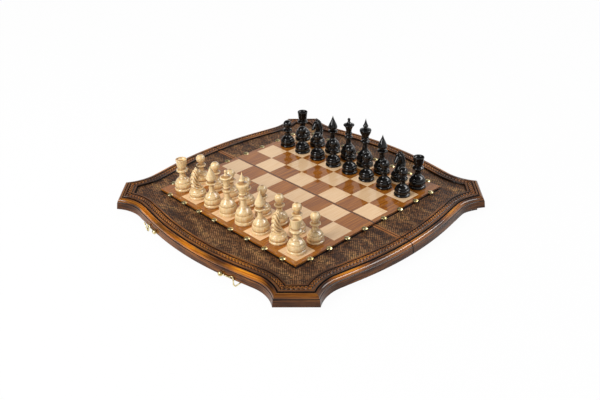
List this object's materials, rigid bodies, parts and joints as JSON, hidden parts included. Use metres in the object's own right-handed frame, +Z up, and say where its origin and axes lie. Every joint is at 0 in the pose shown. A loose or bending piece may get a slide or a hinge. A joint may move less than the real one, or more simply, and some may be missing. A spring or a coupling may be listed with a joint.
{
  "type": "folding chess box",
  "caption": "Shaped wooden chess box that folds shut on a pair of hinges, opened flat with carved border, raised board, side hook latches and turned chessmen.",
  "frame": {"origin": "on the table under the middle of the seam between the two halves, box opened flat", "axes": "+Z up from the table; +X along the seam towards the h-file; -Y towards the white player and the latches, +Y towards the black player"},
  "size_m": [0.56, 0.56, 0.137],
  "materials": {
    "moulding": "gloss lacquered, mid brown",
    "tray": "satin, dark brown",
    "carved_field": "carved in a basket pattern, gloss lacquered, dark brown",
    "dark_squares": "high gloss lacquered, walnut brown",
    "light_squares": "high gloss lacquered, cream",
    "nails": "polished",
    "brass": "polished",
    "light_men": "gloss lacquered, boxwood",
    "dark_men": "gloss lacquered, near black"
  },
  "bodies": {
    "white_half": {"white_board_plate": "dark_squares", "white_corner_rails": "moulding", "white_field_panel": "carved_field", "white_front_rail": "moulding", "white_hinge_leaves": "brass", "white_hinge_screws": "brass", "white_light_squares": "light_squares", "white_nails": "nails", "white_side_rails": "moulding", "white_spine": "tray", "white_tray_wall": "tray", "hinge_pins": "brass", "latch_posts": "brass"},
    "black_half": {"black_board_plate": "dark_squares", "black_corner_rails": "moulding", "black_field_panel": "carved_field", "black_front_rail": "moulding", "black_hinge_leaves": "brass", "black_hinge_screws": "brass", "black_light_squares": "light_squares", "black_nails": "nails", "black_side_rails": "moulding", "black_spine": "tray", "black_tray_wall": "tray", "latch_studs": "brass"},
    "latch_hook_left": {"latch_hook_left": "brass"},
    "latch_hook_right": {"latch_hook_right": "brass"},
    "black_bishop_c": {"black_bishop_c": "dark_men"},
    "black_bishop_f": {"black_bishop_f": "dark_men"},
    "black_king": {"black_king": "dark_men"},
    "black_knight_b": {"black_knight_b": "dark_men"},
    "black_knight_g": {"black_knight_g": "dark_men"},
    "black_pawn_a": {"black_pawn_a": "dark_men"},
    "black_pawn_b": {"black_pawn_b": "dark_men"},
    "black_pawn_c": {"black_pawn_c": "dark_men"},
    "black_pawn_d": {"black_pawn_d": "dark_men"},
    "black_pawn_e": {"black_pawn_e": "dark_men"},
    "black_pawn_f": {"black_pawn_f": "dark_men"},
    "black_pawn_g": {"black_pawn_g": "dark_men"},
    "black_pawn_h": {"black_pawn_h": "dark_men"},
    "black_queen": {"black_queen": "dark_men"},
    "black_rook_a": {"black_rook_a": "dark_men"},
    "black_rook_h": {"black_rook_h": "dark_men"},
    "white_bishop_c": {"white_bishop_c": "light_men"},
    "white_bishop_f": {"white_bishop_f": "light_men"},
    "white_king": {"white_king": "light_men"},
    "white_knight_b": {"white_knight_b": "light_men"},
    "white_knight_g": {"white_knight_g": "light_men"},
    "white_pawn_a": {"white_pawn_a": "light_men"},
    "white_pawn_b": {"white_pawn_b": "light_men"},
    "white_pawn_c": {"white_pawn_c": "light_men"},
    "white_pawn_d": {"white_pawn_d": "light_men"},
    "white_pawn_e": {"white_pawn_e": "light_men"},
    "white_pawn_f": {"white_pawn_f": "light_men"},
    "white_pawn_g": {"white_pawn_g": "light_men"},
    "white_pawn_h": {"white_pawn_h": "light_men"},
    "white_queen": {"white_queen": "light_men"},
    "white_rook_a": {"white_rook_a": "light_men"},
    "white_rook_h": {"white_rook_h": "light_men"}
  },
  "joints": [
    {"name": "box_fold", "type": "hinge", "parent": "white_half", "child": "black_half", "pos_m": [0, 0, 0.0022], "axis": [-1, 0, 0], "range_deg": [0, 180]},
    {"name": "latch_right_swing", "type": "hinge", "parent": "white_half", "child": "latch_hook_right", "pos_m": [0.094, -0.27317, 0.0143], "axis": [0.1446, -0.9895, 0], "range_deg": [-90, 90]},
    {"name": "latch_left_swing", "type": "hinge", "parent": "white_half", "child": "latch_hook_left", "pos_m": [-0.094, -0.27317, 0.0143], "axis": [0.1446, 0.9895, 0], "range_deg": [-90, 90]},
    {"name": "black_bishop_c_lift", "type": "slide", "parent": "black_half", "child": "black_bishop_c", "axis": [0, 0, 1], "range_m": [0, 0.12]},
    {"name": "black_bishop_f_lift", "type": "slide", "parent": "black_half", "child": "black_bishop_f", "axis": [0, 0, 1], "range_m": [0, 0.12]},
    {"name": "black_king_lift", "type": "slide", "parent": "black_half", "child": "black_king", "axis": [0, 0, 1], "range_m": [0, 0.12]},
    {"name": "black_knight_b_lift", "type": "slide", "parent": "black_half", "child": "black_knight_b", "axis": [0, 0, 1], "range_m": [0, 0.12]},
    {"name": "black_knight_g_lift", "type": "slide", "parent": "black_half", "child": "black_knight_g", "axis": [0, 0, 1], "range_m": [0, 0.12]},
    {"name": "black_pawn_a_lift", "type": "slide", "parent": "black_half", "child": "black_pawn_a", "axis": [0, 0, 1], "range_m": [0, 0.12]},
    {"name": "black_pawn_b_lift", "type": "slide", "parent": "black_half", "child": "black_pawn_b", "axis": [0, 0, 1], "range_m": [0, 0.12]},
    {"name": "black_pawn_c_lift", "type": "slide", "parent": "black_half", "child": "black_pawn_c", "axis": [0, 0, 1], "range_m": [0, 0.12]},
    {"name": "black_pawn_d_lift", "type": "slide", "parent": "black_half", "child": "black_pawn_d", "axis": [0, 0, 1], "range_m": [0, 0.12]},
    {"name": "black_pawn_e_lift", "type": "slide", "parent": "black_half", "child": "black_pawn_e", "axis": [0, 0, 1], "range_m": [0, 0.12]},
    {"name": "black_pawn_f_lift", "type": "slide", "parent": "black_half", "child": "black_pawn_f", "axis": [0, 0, 1], "range_m": [0, 0.12]},
    {"name": "black_pawn_g_lift", "type": "slide", "parent": "black_half", "child": "black_pawn_g", "axis": [0, 0, 1], "range_m": [0, 0.12]},
    {"name": "black_pawn_h_lift", "type": "slide", "parent": "black_half", "child": "black_pawn_h", "axis": [0, 0, 1], "range_m": [0, 0.12]},
    {"name": "black_queen_lift", "type": "slide", "parent": "black_half", "child": "black_queen", "axis": [0, 0, 1], "range_m": [0, 0.12]},
    {"name": "black_rook_a_lift", "type": "slide", "parent": "black_half", "child": "black_rook_a", "axis": [0, 0, 1], "range_m": [0, 0.12]},
    {"name": "black_rook_h_lift", "type": "slide", "parent": "black_half", "child": "black_rook_h", "axis": [0, 0, 1], "range_m": [0, 0.12]},
    {"name": "white_bishop_c_lift", "type": "slide", "parent": "white_half", "child": "white_bishop_c", "axis": [0, 0, 1], "range_m": [0, 0.12]},
    {"name": "white_bishop_f_lift", "type": "slide", "parent": "white_half", "child": "white_bishop_f", "axis": [0, 0, 1], "range_m": [0, 0.12]},
    {"name": "white_king_lift", "type": "slide", "parent": "white_half", "child": "white_king", "axis": [0, 0, 1], "range_m": [0, 0.12]},
    {"name": "white_knight_b_lift", "type": "slide", "parent": "white_half", "child": "white_knight_b", "axis": [0, 0, 1], "range_m": [0, 0.12]},
    {"name": "white_knight_g_lift", "type": "slide", "parent": "white_half", "child": "white_knight_g", "axis": [0, 0, 1], "range_m": [0, 0.12]},
    {"name": "white_pawn_a_lift", "type": "slide", "parent": "white_half", "child": "white_pawn_a", "axis": [0, 0, 1], "range_m": [0, 0.12]},
    {"name": "white_pawn_b_lift", "type": "slide", "parent": "white_half", "child": "white_pawn_b", "axis": [0, 0, 1], "range_m": [0, 0.12]},
    {"name": "white_pawn_c_lift", "type": "slide", "parent": "white_half", "child": "white_pawn_c", "axis": [0, 0, 1], "range_m": [0, 0.12]},
    {"name": "white_pawn_d_lift", "type": "slide", "parent": "white_half", "child": "white_pawn_d", "axis": [0, 0, 1], "range_m": [0, 0.12]},
    {"name": "white_pawn_e_lift", "type": "slide", "parent": "white_half", "child": "white_pawn_e", "axis": [0, 0, 1], "range_m": [0, 0.12]},
    {"name": "white_pawn_f_lift", "type": "slide", "parent": "white_half", "child": "white_pawn_f", "axis": [0, 0, 1], "range_m": [0, 0.12]},
    {"name": "white_pawn_g_lift", "type": "slide", "parent": "white_half", "child": "white_pawn_g", "axis": [0, 0, 1], "range_m": [0, 0.12]},
    {"name": "white_pawn_h_lift", "type": "slide", "parent": "white_half", "child": "white_pawn_h", "axis": [0, 0, 1], "range_m": [0, 0.12]},
    {"name": "white_queen_lift", "type": "slide", "parent": "white_half", "child": "white_queen", "axis": [0, 0, 1], "range_m": [0, 0.12]},
    {"name": "white_rook_a_lift", "type": "slide", "parent": "white_half", "child": "white_rook_a", "axis": [0, 0, 1], "range_m": [0, 0.12]},
    {"name": "white_rook_h_lift", "type": "slide", "parent": "white_half", "child": "white_rook_h", "axis": [0, 0, 1], "range_m": [0, 0.12]}
  ]
}
